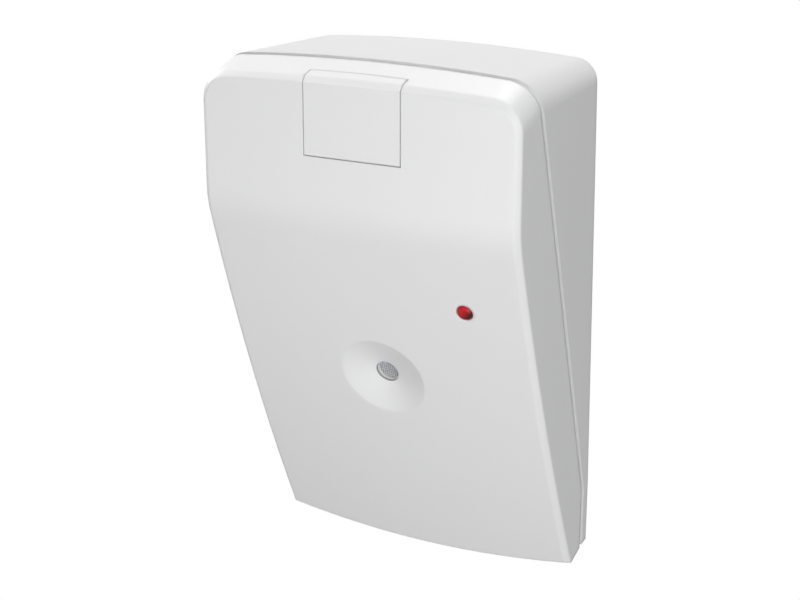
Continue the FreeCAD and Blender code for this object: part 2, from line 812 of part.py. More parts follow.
def circuit_board():
    body = open_body("circuit_board")
    sketch = open_sketch(body, "XY_Plane")
    draw_box(sketch, "-board_width / 2", "board_width / 2", "board_low", "board_high")
    pad(body, sketch, "board_thickness")

    def corner(edge):
        first, last = edge.Vertexes[0].Point, edge.Vertexes[-1].Point
        return abs(first.z - last.z) > size("board_thickness") / 2

    work_edges(body, "Chamfer", "board_corner", corner)
    holes = open_sketch(body, "XY_Plane", "board_thickness")
    for kind, across, along in board_corners():
        if kind == "screw":
            draw_circle(holes, across, along, "board_screw_radius + board_hole_clearance")
    pocket(body, holes, "board_thickness")
    return slant(body, "0", "0", "board_out")


def turned(name, corners, arcs=None):
    """A solid of revolution about its own Z axis from a half section."""
    body = open_body(name)
    sketch = open_sketch(body, "XZ_Plane")
    draw_outline(sketch, corners, arcs)
    revolve(body, sketch)
    return body


def draw_cross(sketch, long_reach, short_reach, half):
    """A cross slot in plan: one arm pair along X, the other along Y, of one width."""
    right = [(long_reach, f"-{half}"), (long_reach, half), (half, half)]
    up = [(half, short_reach), (f"-{half}", short_reach), (f"-{half}", half)]
    left = [(f"-{long_reach}", half), (f"-{long_reach}", f"-{half}"), (f"-{half}", f"-{half}")]
    down = [(f"-{half}", f"-{short_reach}"), (half, f"-{short_reach}"), (half, f"-{half}")]
    draw_outline(sketch, right + up + left + down)


def screw(name, radius, length, head_radius, head_height):
    """A cheese-head screw whose head stands on its own plane z = 0, with a slot."""
    body = turned(name, [("0", f"-({length})"), (radius, f"-({length})"), (radius, "0"), (head_radius, "0"),
                         (head_radius, head_height), ("0", head_height)])
    slot = open_sketch(body, "XY_Plane", head_height)
    reach, half = f"({head_radius} - slot_margin)", "slot_width / 2"
    draw_box(slot, f"-{reach}", reach, f"-{half}", half)
    pocket(body, slot, "slot_depth")
    return body


def board_screws():
    pieces = []
    for kind, across, along in board_corners():
        if kind == "screw":
            piece = screw(f"board_screw_{len(pieces)}", "board_screw_radius", "board_screw_length",
                          "board_screw_head_radius", "board_screw_head_height")
            pieces.append(slant(piece, across, along, board_front))
    return group("board_screws", pieces)


def cover_screw():
    piece = screw("cover_screw", "cover_screw_radius", "cover_screw_length",
                  "cover_screw_head_radius", "cover_screw_head_height")
    return face_front(piece, "0", screw_seat, "screw_height")


def microphone_screen():
    """A square of fine mesh between the boot and the floor of the socket."""
    return square_post("microphone_screen", "boot_side", boot_front, f"{screen_front} - seam_gap",
                       "0", "microphone_along")


def microphone_boot():
    """A square rubber block that stands on the board, bored for the capsule."""
    body = open_body("microphone_boot")
    outline = open_sketch(body, "XY_Plane")
    half = "boot_side / 2"
    draw_box(outline, f"-{half}", half, f"-{half}", half)
    draw_circle(outline, "0", "0", "capsule_radius + capsule_clearance")
    pad(body, outline, f"{boot_front} - {board_front}")
    return slant(body, "0", "microphone_along", board_front)


def with_leads(name, case, foot, across, along):
    """Joins two straight square leads, from the board's face up into a case."""
    pieces = [case]
    for way in ("-", "+"):
        pieces.append(square_post(f"{name}_lead_{len(pieces)}", "lead_side", board_front,
                                  f"{foot} + lead_side", f"{across} {way} lead_spread", along))
    return join(name, pieces)


def microphone_capsule():
    can = rod("capsule_can", "capsule_radius", "capsule_height")
    slant(can, "0", "microphone_along", capsule_back)
    return with_leads("microphone_capsule", can, capsule_back, "0", "microphone_along")


def indicator_lamp():
    """A round lamp with a flange at its foot and a tapered tip."""
    corners = [("0", "0"), ("lamp_flange_radius", "0"), ("lamp_flange_radius", "lamp_flange_height"),
               ("lamp_radius", "lamp_flange_height"), ("lamp_radius", "lamp_length - lamp_tip_height"),
               ("lamp_tip_radius", "lamp_length"), ("0", "lamp_length")]
    lens = slant(turned("lamp_lens", corners), "lamp_across", "lamp_along", lamp_base)
    return with_leads("indicator_lamp", lens, lamp_base, "lamp_across", "lamp_along")


def lamp_spacer():
    """A square sleeve that holds the lamp off the board."""
    body = open_body("lamp_spacer")
    outline = open_sketch(body, "XY_Plane")
    for side in ("spacer_side", "spacer_bore"):
        draw_box(outline, f"-{side} / 2", f"{side} / 2", f"-{side} / 2", f"{side} / 2")
    pad(body, outline, f"{lamp_base} - {board_front}")
    return slant(body, "lamp_across", "lamp_along", board_front)


def terminal_places():
    """Middles of the six ways across the terminal block."""
    return [f"terminal_pitch * {step}" for step in (-2.5, -1.5, -0.5, 0.5, 1.5, 2.5)]


def terminal_block():
    """Six ways in one moulding: a wire mouth up the slope and a square screw shaft from the front."""
    body = open_body("terminal_block")
    section = open_sketch(body, "YZ_Plane")
    half = "terminal_depth / 2"
    draw_outline(section, [(f"-{half}", "0"), (half, "0"), (half, "terminal_height - terminal_bevel"),
                           (f"{half} - terminal_bevel", "terminal_height"), (f"-{half}", "terminal_height")])
    pad(body, section, "terminal_pitch * 6 + terminal_end * 2", "Symmetric")
    first = terminal_places()[0]
    mouth = open_sketch(body, "XZ_Plane", f"-{half}")
    left, right = f"{first} - cell_width / 2", f"{first} + cell_width / 2"
    draw_box(mouth, left, right, "cell_floor", "cell_floor + cell_height")
    cell = pocket(body, mouth, "terminal_depth - cell_back_wall", backwards=True)
    top = open_sketch(body, "XY_Plane", "terminal_height")
    left, right = f"{first} - shaft_width / 2", f"{first} + shaft_width / 2"
    draw_box(top, left, right, "-shaft_width / 2", "shaft_width / 2")
    shaft = pocket(body, top, "terminal_height - cell_floor - cell_height / 2")
    repeat_along_x(body, [cell, shaft], top, "6", "terminal_pitch")
    return slant(body, "0", "terminal_along", board_front)


clamp_low = "(cell_floor + cell_clearance)"
clamp_high = "(cell_floor + cell_height - cell_clearance)"


def terminal_clamps():
    """Six brass cages that hold the wires."""
    pieces = []
    for index, across in enumerate(terminal_places()):
        body = open_body(f"terminal_clamp_{index}")
        section = open_sketch(body, "XZ_Plane", "-(terminal_depth / 2 - cell_back_wall)")
        side = "(cell_width / 2 - cell_clearance)"
        draw_box(section, f"-{side}", side, clamp_low, clamp_high)
        inner = f"({side} - clamp_wall)"
        draw_box(section, f"-{inner}", inner, f"{clamp_low} + clamp_wall", f"{clamp_high} - clamp_wall")
        pad(body, section, "terminal_depth - cell_back_wall * 2")
        pieces.append(slant(body, across, "terminal_along", board_front))
    return group("terminal_clamps", pieces)


def terminal_screws():
    """Six slotted screws down the shafts, one on each cage."""
    pieces = []
    for index, across in enumerate(terminal_places()):
        body = open_body(f"terminal_screw_{index}")
        outline = open_sketch(body, "XY_Plane")
        draw_circle(outline, "0", "0", "terminal_screw_radius")
        pad(body, outline, "terminal_screw_length")
        slot = open_sketch(body, "XY_Plane", "terminal_screw_length")
        half = "terminal_slot_width / 2"
        draw_box(slot, "-terminal_pitch / 2", "terminal_pitch / 2", f"-{half}", half)
        pocket(body, slot, "terminal_slot_depth")
        pieces.append(slant(body, across, "terminal_along", f"{board_front} + {clamp_high} + seam_gap"))
    return group("terminal_screws", pieces)


def moulded_box(name, length, width, height, edge):
    """A box on the board with its upper edges and corners eased."""
    body = open_body(name)
    sketch = open_sketch(body, "XY_Plane")
    draw_box(sketch, f"-({length}) / 2", f"({length}) / 2", f"-({width}) / 2", f"({width}) / 2")
    pad(body, sketch, height)

    def upper(edge):
        return max(vertex.Point.z for vertex in edge.Vertexes) > size(height) / 2

    work_edges(body, "Chamfer", edge, upper)
    return body


def alarm_relay():
    body = moulded_box("alarm_relay", "relay_length", "relay_width", "relay_height", "relay_edge")
    return slant(body, "relay_across", "relay_along", board_front)


def tamper_switch():
    """A square switch body with a square chamber under its lid and a round hole in the lid."""
    body = open_body("tamper_switch")
    outline = open_sketch(body, "XY_Plane")
    half = "tamper_side / 2"
    draw_box(outline, f"-{half}", half, f"-{half}", half)
    pad(body, outline, "tamper_height")
    bore = open_sketch(body, "XY_Plane", "tamper_height")
    draw_circle(bore, "0", "0", "plunger_radius + plunger_clearance")
    pocket(body, bore, "tamper_height")
    chamber = open_sketch(body, "XY_Plane")
    half = "tamper_chamber_side / 2"
    draw_box(chamber, f"-{half}", half, f"-{half}", half)
    pocket(body, chamber, "tamper_height - tamper_lid", backwards=True)
    return slant(body, "tamper_across", "tamper_along", board_front)


def tamper_plunger():
    """A flanged button, held down by the cover's post while the case is shut."""
    body = open_body("tamper_plunger")
    flange_low = "(tamper_height - tamper_lid - plunger_pressed - plunger_flange_height)"
    flange = open_sketch(body, "XY_Plane", flange_low)
    half = "plunger_flange_side / 2"
    draw_box(flange, f"-{half}", half, f"-{half}", half)
    pad(body, flange, "plunger_flange_height")
    stem = open_sketch(body, "XY_Plane", flange_low)
    draw_circle(stem, "0", "0", "plunger_radius")
    pad(body, stem, f"plunger_top - seam_gap - {flange_low}")
    return slant(body, "tamper_across", "tamper_along", board_front)


rotor_floor = "(trimmer_height - rotor_height)"


def trimmer_body():
    body = open_body("trimmer_body")
    outline = open_sketch(body, "XY_Plane")
    half = "trimmer_side / 2"
    draw_box(outline, f"-{half}", half, f"-{half}", half)
    pad(body, outline, "trimmer_height")
    bore = open_sketch(body, "XY_Plane", "trimmer_height")
    draw_circle(bore, "0", "0", "rotor_radius + rotor_clearance")
    pocket(body, bore, "rotor_height")
    return slant(body, "trimmer_across", "trimmer_along", board_front)


def trimmer_rotor():
    """A round rotor with one long and one short slot, so its setting can be read."""
    body = open_body("trimmer_rotor")
    outline = open_sketch(body, "XY_Plane")
    draw_circle(outline, "0", "0", "rotor_radius")
    pad(body, outline, "rotor_height")
    slot = open_sketch(body, "XY_Plane", "rotor_height")
    draw_cross(slot, "(rotor_slot_length / 4)", "(rotor_slot_length / 2)", "(rotor_slot_width / 2)")
    pocket(body, slot, "rotor_slot_depth")
    return slant(body, "trimmer_across", "trimmer_along", f"{board_front} + {rotor_floor} + seam_gap")


def chip(kind):
    """A flat chip with a row of bent legs along each long side."""
    body = open_body(f"{kind}_chip")
    length, pins = f"{kind}_length", f"{kind}_pins"
    outline = open_sketch(body, "XY_Plane", "chip_lift")
    draw_box(outline, f"-{length} / 2", f"{length} / 2", "-chip_width / 2", "chip_width / 2")
    pad(body, outline, "chip_height - chip_lift")
    middle = "(chip_height + chip_lift) / 2"
    upper, lower = f"({middle} + pin_thickness / 2)", f"({middle} - pin_thickness / 2)"
    root = "(chip_width / 2 - pin_reach / 4)"
    toe = "(chip_width / 2 + pin_reach)"
    heel = f"({toe} - pin_thickness)"
    side = [(root, lower), (heel, lower), (heel, "0"), (toe, "0"), (toe, upper), (root, upper)]
    legs = open_sketch(body, "YZ_Plane", f"-pin_pitch * ({pins} - 1) / 2 - pin_width / 2")
    draw_outline(legs, side)
    draw_outline(legs, [(f"-{away}", height) for away, height in reversed(side)])
    pair = pad(body, legs, "pin_width")
    repeat_along_x(body, [pair], outline, pins, "pin_pitch")
    return slant(body, f"{kind}_across", f"{kind}_along", board_front)


def clock_crystal():
    body = moulded_box("clock_crystal", "crystal_length", "crystal_width", "crystal_height", "crystal_edge")
    return slant(body, "crystal_across", "crystal_along", board_front)


def voltage_regulator():
    """A half-round transistor case with one flat side, flush on the board."""
    body = open_body("voltage_regulator")
    outline = open_sketch(body, "XY_Plane")
    draw_circle(outline, "0", "0", "regulator_radius")
    pad(body, outline, "regulator_height")
    flat = open_sketch(body, "XY_Plane", "regulator_height")
    clear = "(regulator_radius * 2)"
    draw_box(flat, f"-{clear}", clear, "regulator_flat", clear)
    pocket(body, flat, "regulator_height")
    return slant(body, "regulator_across", "regulator_along", board_front)


def capacitor(kind):
    """An upright round can."""
    can = rod(f"{kind}_capacitor", f"{kind}_radius", f"{kind}_height")
    return slant(can, f"{kind}_across", f"{kind}_along", board_front)


def protection_diode():
    """A small moulded diode lying along X, with a flat tab out at each end."""
    body = moulded_box("protection_diode", "diode_length", "diode_width", "diode_height", "diode_edge")
    tabs = open_sketch(body, "XY_Plane")
    reach, half = "(diode_length / 2 + diode_tab_reach)", "diode_tab_width / 2"
    draw_box(tabs, f"-{reach}", reach, f"-{half}", half)
    pad(body, tabs, "diode_tab_thickness")
    return slant(body, "diode_across", "diode_along", board_front)


def header_places():
    return [f"header_pitch * {step}" for step in (-1.5, -0.5, 0.5, 1.5)]


def jumper_header():
    """Four square pins in one black strip."""
    body = open_body("jumper_header")
    base = open_sketch(body, "XY_Plane")
    draw_box(base, "-header_pitch * 2", "header_pitch * 2", "-header_base / 2", "header_base / 2")
    pad(body, base, "header_base")
    pins = open_sketch(body, "XY_Plane", "header_base / 2")
    for place in header_places():
        draw_box(pins, f"{place} - header_pin_side / 2", f"{place} + header_pin_side / 2",
                 "-header_pin_side / 2", "header_pin_side / 2")
    pad(body, pins, "header_pin_height - header_base / 2")
    return slant(body, "header_across", "header_along", board_front)


def jumper_cap(name, places):
    """A small shell pushed over two pins."""
    body = open_body(name)
    middle = f"(({places[0]} + {places[1]}) / 2)"
    outline = open_sketch(body, "XY_Plane", "header_base + seam_gap")
    reach = "(header_pitch - jumper_gap)"
    draw_box(outline, f"{middle} - {reach}", f"{middle} + {reach}", "-header_base / 2", "header_base / 2")
    depth = "(header_pin_height - header_base + jumper_gap)"
    pad(body, outline, f"{depth} + jumper_roof")
    holes = open_sketch(body, "XY_Plane", "header_base + seam_gap")
    half = "(header_pin_side / 2 + jumper_gap)"
    for place in places:
        draw_box(holes, f"{place} - {half}", f"{place} + {half}", f"-{half}", half)
    pocket(body, holes, depth, backwards=True)
    return slant(body, "header_across", "header_along", board_front)


nodes = [
    rear_housing(),
    front_cover(),
    screw_hatch(),
    cover_screw(),
    circuit_board(),
    board_screws(),
    microphone_screen(),
    microphone_boot(),
    microphone_capsule(),
    indicator_lamp(),
    lamp_spacer(),
    terminal_block(),
    terminal_clamps(),
    terminal_screws(),
    alarm_relay(),
    tamper_switch(),
    tamper_plunger(),
    trimmer_body(),
    trimmer_rotor(),
    chip("processor"),
    chip("amplifier"),
    clock_crystal(),
    voltage_regulator(),
    capacitor("supply"),
    capacitor("coupling"),
    protection_diode(),
    jumper_header(),
    jumper_cap("lamp_jumper", header_places()[:2]),
    jumper_cap("range_jumper", header_places()[2:]),
]
document.recompute()

for thing in document.Objects:
    if "Invalid" in thing.State or "Error" in thing.State:
        raise ValueError(f"{thing.Name} could not be worked out: {thing.State}")
for node in nodes:
    if node.Shape.isNull() or not node.Shape.isValid():
        raise ValueError(f"{node.Name} has no valid shape")

os.makedirs("parts", exist_ok=True)
for node in nodes:
    node.Label = node.Name
    node.Shape.exportStep(f"parts/{node.Name}.step")
    print(node.Label, len(node.Shape.Solids), round(node.Shape.Volume, 1))
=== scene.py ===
import math

import bpy
import numpy as np
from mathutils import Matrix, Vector


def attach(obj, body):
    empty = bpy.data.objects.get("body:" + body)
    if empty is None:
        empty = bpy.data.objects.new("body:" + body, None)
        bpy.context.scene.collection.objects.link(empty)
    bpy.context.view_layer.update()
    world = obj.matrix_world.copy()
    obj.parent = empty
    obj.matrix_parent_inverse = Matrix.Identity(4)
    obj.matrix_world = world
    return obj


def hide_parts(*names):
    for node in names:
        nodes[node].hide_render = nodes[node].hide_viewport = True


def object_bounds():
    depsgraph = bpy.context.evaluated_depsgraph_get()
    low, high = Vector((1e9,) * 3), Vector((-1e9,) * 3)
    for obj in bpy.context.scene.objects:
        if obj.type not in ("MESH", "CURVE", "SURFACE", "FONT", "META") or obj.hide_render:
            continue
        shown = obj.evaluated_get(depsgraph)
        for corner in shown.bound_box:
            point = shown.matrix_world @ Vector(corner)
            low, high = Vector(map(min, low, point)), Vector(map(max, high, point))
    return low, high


# Glass break sensor in a white two-part case, seen from above and from its own left.
# Metres, +Z up, the wall is the plane y = 0 and the face looks along -Y.

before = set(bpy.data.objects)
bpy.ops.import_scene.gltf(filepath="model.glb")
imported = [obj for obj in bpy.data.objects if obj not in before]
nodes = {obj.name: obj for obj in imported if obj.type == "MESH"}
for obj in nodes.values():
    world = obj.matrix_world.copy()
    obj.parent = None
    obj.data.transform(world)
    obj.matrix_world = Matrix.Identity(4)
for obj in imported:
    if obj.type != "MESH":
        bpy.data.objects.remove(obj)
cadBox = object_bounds()
print("frame loaded with", len(nodes), "nodes")


probeSamples = 8


class Signal:
    # An output socket. Sums and products on it add Math nodes to its finish.
    def __init__(self, finish, socket):
        self.finish = finish
        self.socket = socket

    def join(self, operation, first, second):
        return self.finish.add("Math", {"operation": operation}, {0: first, 1: second})

    def __add__(self, other):
        return self.join("ADD", self, other)

    def __sub__(self, other):
        return self.join("SUBTRACT", self, other)

    def __rsub__(self, other):
        return self.join("SUBTRACT", other, self)

    def __mul__(self, other):
        return self.join("MULTIPLY", self, other)

    __radd__ = __add__
    __rmul__ = __mul__


class Finish:
    # One material. Its shader is a Principled BSDF that the parts of the finish feed.
    def __init__(self, name, **constants):
        self.material = bpy.data.materials.new(name)
        self.material.use_nodes = True
        self.tree = self.material.node_tree
        self.shader = self.tree.nodes["Principled BSDF"]
        for socket, value in constants.items():
            self.shader.inputs[socket.replace("_", " ")].default_value = value

    def add(self, kind, settings=None, feeds=None, output=0):
        # settings are set first, a ramp's stops among them, then sockets get values or links
        node = self.tree.nodes.new("ShaderNode" + kind)
        for key, value in (settings or {}).items():
            if key == "stops":
                self.setStops(node.color_ramp.elements, value)
            else:
                setattr(node, key, value)
        for key, value in (feeds or {}).items():
            self.feed(node.inputs[key], value)
        return Signal(self, node.outputs[output])

    def setStops(self, elements, stops):
        while len(elements) < len(stops):
            elements.new(0.5)
        for element, (place, colour) in zip(elements, stops):
            element.position = place
            element.color = colour

    def feed(self, socket, value):
        if isinstance(value, Signal):
            self.tree.links.new(value.socket, socket)
        else:
            socket.default_value = value

    def place(self):
        return self.add("TexCoord", output="Object")

    def noise(self, scale, detail=2.0, roughness=0.5):
        feeds = {"Vector": self.place(), "Scale": scale, "Detail": detail, "Roughness": roughness}
        return self.add("TexNoise", feeds=feeds)

    def rounded(self, radius):
        # the normal of the surface as if its edges were rounded to a radius
        return self.add("Bevel", {"samples": probeSamples}, {"Radius": radius})

    def crevice(self, reach, stops):
        # a ramp over how open the surface is within a reach, from shut in to free
        settings = {"samples": probeSamples}
        opened = self.add("AmbientOcclusion", settings, {"Distance": reach}, output=1)
        return self.add("ValToRGB", {"stops": stops}, {"Fac": opened})

    def within(self, low, high):
        # 1 inside an upright box between two corners in object coordinates, 0 outside
        place = self.add("SeparateXYZ", feeds={0: self.place()})
        inside = 1.0
        for axis, (least, most) in enumerate(zip(low, high)):
            value = Signal(self, place.socket.node.outputs[axis])
            inside = inside * self.compare("GREATER_THAN", value, least)
            inside = inside * self.compare("LESS_THAN", value, most)
        return inside

    def compare(self, operation, value, limit):
        return self.add("Math", {"operation": operation}, {0: value, 1: limit})

    def along(self, origin, direction):
        # distance from an origin along a direction, in object coordinates
        feeds = {0: self.place(), 1: direction}
        turned = self.add("VectorMath", {"operation": "DOT_PRODUCT"}, feeds, output=1)
        return turned - sum(place * part for place, part in zip(origin, direction))

    def blend(self, amount, first, second):
        # amount 0 gives the first colour, 1 the second
        return self.add("Mix", {"data_type": "RGBA"}, {0: amount, 6: first, 7: second}, output=2)

    def bump(self, height, distance, strength=1.0, under=None):
        feeds = {"Height": height, "Distance": distance, "Strength": strength}
        if under is not None:
            feeds["Normal"] = under
        return self.add("Bump", feeds=feeds)

    def paint(self, **links):
        for socket, value in links.items():
            self.feed(self.shader.inputs[socket.replace("_", " ")], value)
        return self.material


def colour(red, green, blue):
    return (red, green, blue, 1.0)


def cover(node, material):
    mesh = nodes[node].data
    mesh.materials.clear()
    mesh.materials.append(material)


def slopeUp(lean):
    # unit vector up the face's slope, from its lean in degrees
    turn = math.radians(lean)
    return (0.0, -math.sin(turn), math.cos(turn))


# Sound hole: where its axis meets the screen's front, and the lean of the face's slope there

soundHole = {"middle": (0.0, -0.025312, -0.009084), "lean": 17.7}

# White moulded case

caseLook = {
    "refraction": 1.5,
    "shade": colour(0.80, 0.80, 0.80),
    "warmShade": colour(0.785, 0.785, 0.78),
    "patchScale": 28.0,
    "patchDetail": 3.0,
    "roughness": 0.42,
    "roughnessSpread": 0.10,
    "grainScale": 5200.0,
    "grainDetail": 2.0,
    "grainHarshness": 0.6,
    "grainDepth": 0.000012,
    "waveScale": 60.0,
    "waveDetail": 1.0,
    "waveDepth": 0.00006,
    "edgeRadius": 0.0009,
    "sharpRadius": 0.0001,
    "hatchLow": (-0.0115, -0.045, 0.035),
    "hatchHigh": (0.0115, -0.036, 0.0505),
    "holeLow": (-0.0034, -0.0330, -0.0130),
    "holeHigh": (0.0034, -0.0240, -0.0055),
    "holeRadius": 0.00243,
    "paintedHoleShade": colour(0.34, 0.34, 0.34),
    "gapReach": 0.0005,
    "gapPaintedLight": [(0.0, colour(0.10, 0.10, 0.10)), (0.5, colour(0.0, 0.0, 0.0))],
}


def mouldedCase(name, look):
    # The edges look rounded, less so round the hatch and the sound hole. Painted light, an emission
    # strongest in the narrow crevices, brightens them. The wall of the sound hole gets painted
    # shade.
    finish = Finish(name, IOR=look["refraction"], Emission_Strength=1.0)
    patches = finish.noise(look["patchScale"], look["patchDetail"])
    grain = finish.noise(look["grainScale"], look["grainDetail"], look["grainHarshness"])
    wave = finish.noise(look["waveScale"], look["waveDetail"])
    nearHatch = finish.within(look["hatchLow"], look["hatchHigh"])
    nearHole = finish.within(look["holeLow"], look["holeHigh"])
    soft, sharp = finish.rounded(look["edgeRadius"]), finish.rounded(look["sharpRadius"])
    edges = finish.add("Mix", {"data_type": "VECTOR"},
                       {0: nearHatch + nearHole, 4: soft, 5: sharp}, output=1)
    flow = finish.bump(wave, look["waveDepth"], under=edges)
    normal = finish.bump(grain, look["grainDepth"], under=flow)
    roughness = look["roughness"] + look["roughnessSpread"] * (grain - 0.5)
    across = finish.along(soundHole["middle"], (1.0, 0.0, 0.0))
    upward = finish.along(soundHole["middle"], slopeUp(soundHole["lean"]))
    offAxis = across * across + upward * upward
    # painted shade: the wall of the sound hole is coloured darker
    paintedHoleShadeMask = nearHole * finish.compare("LESS_THAN", offAxis, look["holeRadius"] ** 2)
    white = finish.blend(patches, look["shade"], look["warmShade"])
    shade = finish.blend(paintedHoleShadeMask, white, look["paintedHoleShade"])
    # painted light: the case emits a faint glow in its narrow crevices
    paintedGapLight = finish.crevice(look["gapReach"], look["gapPaintedLight"])
    glow = finish.blend(paintedHoleShadeMask, paintedGapLight, colour(0.0, 0.0, 0.0))
    return finish.paint(Base_Color=shade, Roughness=roughness, Normal=normal, Emission_Color=glow)


caseWhite = mouldedCase("caseWhite", caseLook)
for node in ("rear_housing", "front_cover", "screw_hatch"):
    cover(node, caseWhite)
print("case finished")


# Red indicator lamp with painted shade: bright towards its upper left and deep red at its lower
# right

lampLook = {
    "middle": (0.0205, -0.034378, 0.008492),
    "paintedShadeDirection": (0.78, 0.1885, -0.5907),
    "radius": 0.0016,
    "stops": [(0.28, colour(0.60, 0.0140, 0.0220)), (0.56, colour(0.36, 0.012, 0.018)),
              (0.80, colour(0.08, 0.012, 0.010))],
    "refraction": 1.4,
    "speckScale": 900.0,
    "speckDetail": 2.0,
    "speckShift": 0.06,
    "speckDepth": 0.00001,
    "roughness": 0.3,
    "roughnessSpread": 0.1,
    "edgeRadius": 0.0006,
}


def redLensPaintedShade(look):
    # the ramp paints shade over the red lens, from its bright edge at 0 to its dark edge at 1
    finish = Finish("redLensPaintedShade", IOR=look["refraction"])
    speck = finish.noise(look["speckScale"], look["speckDetail"])
    across = finish.along(look["middle"], look["paintedShadeDirection"]) * (0.5 / look["radius"]) + 0.5
    place = across + look["speckShift"] * (speck - 0.5)
    shade = finish.add("ValToRGB", {"stops": look["stops"]}, {"Fac": place})
    normal = finish.bump(speck, look["speckDepth"], under=finish.rounded(look["edgeRadius"]))
    roughness = look["roughness"] + look["roughnessSpread"] * speck
    return finish.paint(Base_Color=shade, Roughness=roughness, Normal=normal)


cover("indicator_lamp", redLensPaintedShade(lampLook))


# Screen of woven wire behind the sound hole, with the rim that carries it

screenLook = {
    "side": 0.0116,
    "thickness": 0.0003,
    "frontGap": 0.00002,
    "patchSide": 0.0052,
    "pitch": 0.00044,
    "wireRadius": 0.00010,
    "waviness": 0.00002,
    "patchSteps": 180,
    "plateDepth": 2.2,
    "rimInner": 0.00215,
    "rimOuter": 0.00237,
    "rimHeight": 0.00045,
    "rimEase": 0.00006,
    "rimSteps": 96,
    "wireShade": colour(0.76, 0.77, 0.79),
    "paintedWeaveShade": colour(0.15, 0.15, 0.16),
    "rimShade": colour(0.74, 0.74, 0.74),
    "metallic": 0.3,
    "roughness": 0.45,
    "roughnessSpread": 0.2,
    "dirtScale": 2600.0,
    "dirtDetail": 3.0,
    "dirtSpread": 1.0,
}


def wovenHeight(u, v, look):
    # Each wire is a half round of its radius round a centre that waves up and down with the
    # cosine of the place along it, neighbours in turn. The surface is the higher of both sets.
    pitch, radius, sway = look["pitch"], look["wireRadius"], look["waviness"]
    floor = -(radius + sway)
    surface = np.full(u.shape, floor)
    for across, running, phase in ((u, v, 0.0), (v, u, np.pi)):
        row = np.round(across / pitch)
        away = across - row * pitch
        half = np.sqrt(np.maximum(radius ** 2 - away ** 2, 0.0))
        centre = sway * np.cos(np.pi * running / pitch + np.pi * row + phase)
        surface = np.where(half > 0.0, np.maximum(surface, centre + half), surface)
    return surface - radius - sway


def wovenPatch(look):
    # a square grid of points u, v with the woven height w
    steps = look["patchSteps"]
    line = np.linspace(-0.5, 0.5, steps + 1) * look["patchSide"]
    u, v = np.meshgrid(line, line, indexing="ij")
    points = np.stack([u, v, wovenHeight(u, v, look) - look["frontGap"]], axis=-1).reshape(-1, 3)
    index = np.arange(steps * (steps + 1)).reshape(steps, steps + 1)[:, :-1].ravel()
    faces = np.stack([index, index + steps + 1, index + steps + 2, index + 1], axis=1)
    return points, faces


def backPlate(look):
    # a flat box of the full side, from the screen's back to just under the deepest point
    half = look["side"] / 2
    low = -look["thickness"]
    high = -look["frontGap"] - look["plateDepth"] * (look["wireRadius"] + look["waviness"])
    signs = np.array([(-1, -1), (1, -1), (1, 1), (-1, 1)]) * half
    points = np.concatenate([np.c_[signs, np.full(4, low)], np.c_[signs, np.full(4, high)]])
    faces = np.array([(3, 2, 1, 0), (4, 5, 6, 7), (0, 1, 5, 4), (1, 2, 6, 5),
                      (2, 3, 7, 6), (3, 0, 4, 7)])
    return points, faces


def rimRing(look):
    # a closed section of radius r and height w turned through a full circle
    inner, outer, ease = look["rimInner"], look["rimOuter"], look["rimEase"]
    low, high = -look["frontGap"], look["rimHeight"]
    section = np.array([(inner, low), (outer, low), (outer, high - ease), (outer - ease, high),
                        (inner + ease, high), (inner, high - ease)])
    turn = np.linspace(0.0, 2 * np.pi, look["rimSteps"], endpoint=False)
    radius, height = section[:, 0], section[:, 1]
    points = np.stack([np.outer(np.cos(turn), radius), np.outer(np.sin(turn), radius),
                       np.tile(height, (len(turn), 1))], axis=-1).reshape(-1, 3)
    count = len(section)
    step, place = np.meshgrid(np.arange(len(turn)), np.arange(count), indexing="ij")
    nextStep, nextPlace = (step + 1) % len(turn), (place + 1) % count
    corners = [step * count + place, nextStep * count + place,
               nextStep * count + nextPlace, step * count + nextPlace]
    return points, np.stack(corners, axis=-1).reshape(-1, 4)


def onSlope(points):
    # u runs to the right, v up the slope and w out of it, from the screen's middle
    right, up = np.array((1.0, 0.0, 0.0)), np.array(slopeUp(soundHole["lean"]))
    return points @ np.array([right, up, np.cross(right, up)]) + np.array(soundHole["middle"])


def wireFinish(look):
    finish = Finish("wovenWire", Metallic=look["metallic"])
    dirt = finish.noise(look["dirtScale"], look["dirtDetail"])
    sunken = finish.add("Attribute", {"attribute_name": "sunken"}, output=2)
    # painted shade: the weave darkens towards its sunken points, with random dirt tone mixed in
    amount = sunken + look["dirtSpread"] * (dirt - 0.5)
    shade = finish.blend(amount, look["wireShade"], look["paintedWeaveShade"])
    roughness = look["roughness"] + look["roughnessSpread"] * dirt
    return finish.paint(Base_Color=shade, Roughness=roughness)


def makeScreen(look):
    shapes = [wovenPatch(look), backPlate(look), rimRing(look)]
    starts = np.cumsum([0] + [len(points) for points, faces in shapes[:-1]])
    points = np.concatenate([points for points, faces in shapes])
    faces = np.concatenate([faces + start for (_, faces), start in zip(shapes, starts)])
    mesh = bpy.data.meshes.new("microphoneScreen")
    mesh.from_pydata(onSlope(points), [], faces)
    # how far each woven point lies under the front, as a share of the weave's full depth, which
    # sets its painted shade
    depth = np.zeros(len(points))
    woven = len(shapes[0][0])
    full = 2 * (look["wireRadius"] + look["waviness"])
    depth[:woven] = np.clip(-points[:woven, 2] / full, 0.0, 1.0)
    mesh.attributes.new("sunken", "FLOAT", "POINT").data.foreach_set("value", depth)
    mesh.materials.append(wireFinish(look))
    mesh.materials.append(grainedPlastic("screenRim", look["rimShade"]))
    rimFaces = np.zeros(len(faces), dtype=np.int32)
    rimFaces[-len(shapes[2][1]):] = 1
    mesh.polygons.foreach_set("material_index", rimFaces)
    mesh.update()
    screen = bpy.data.objects.new("microphoneScreen", mesh)
    bpy.context.scene.collection.objects.link(screen)
    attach(screen, "case")
    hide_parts("microphone_screen")


# Pieces inside the case

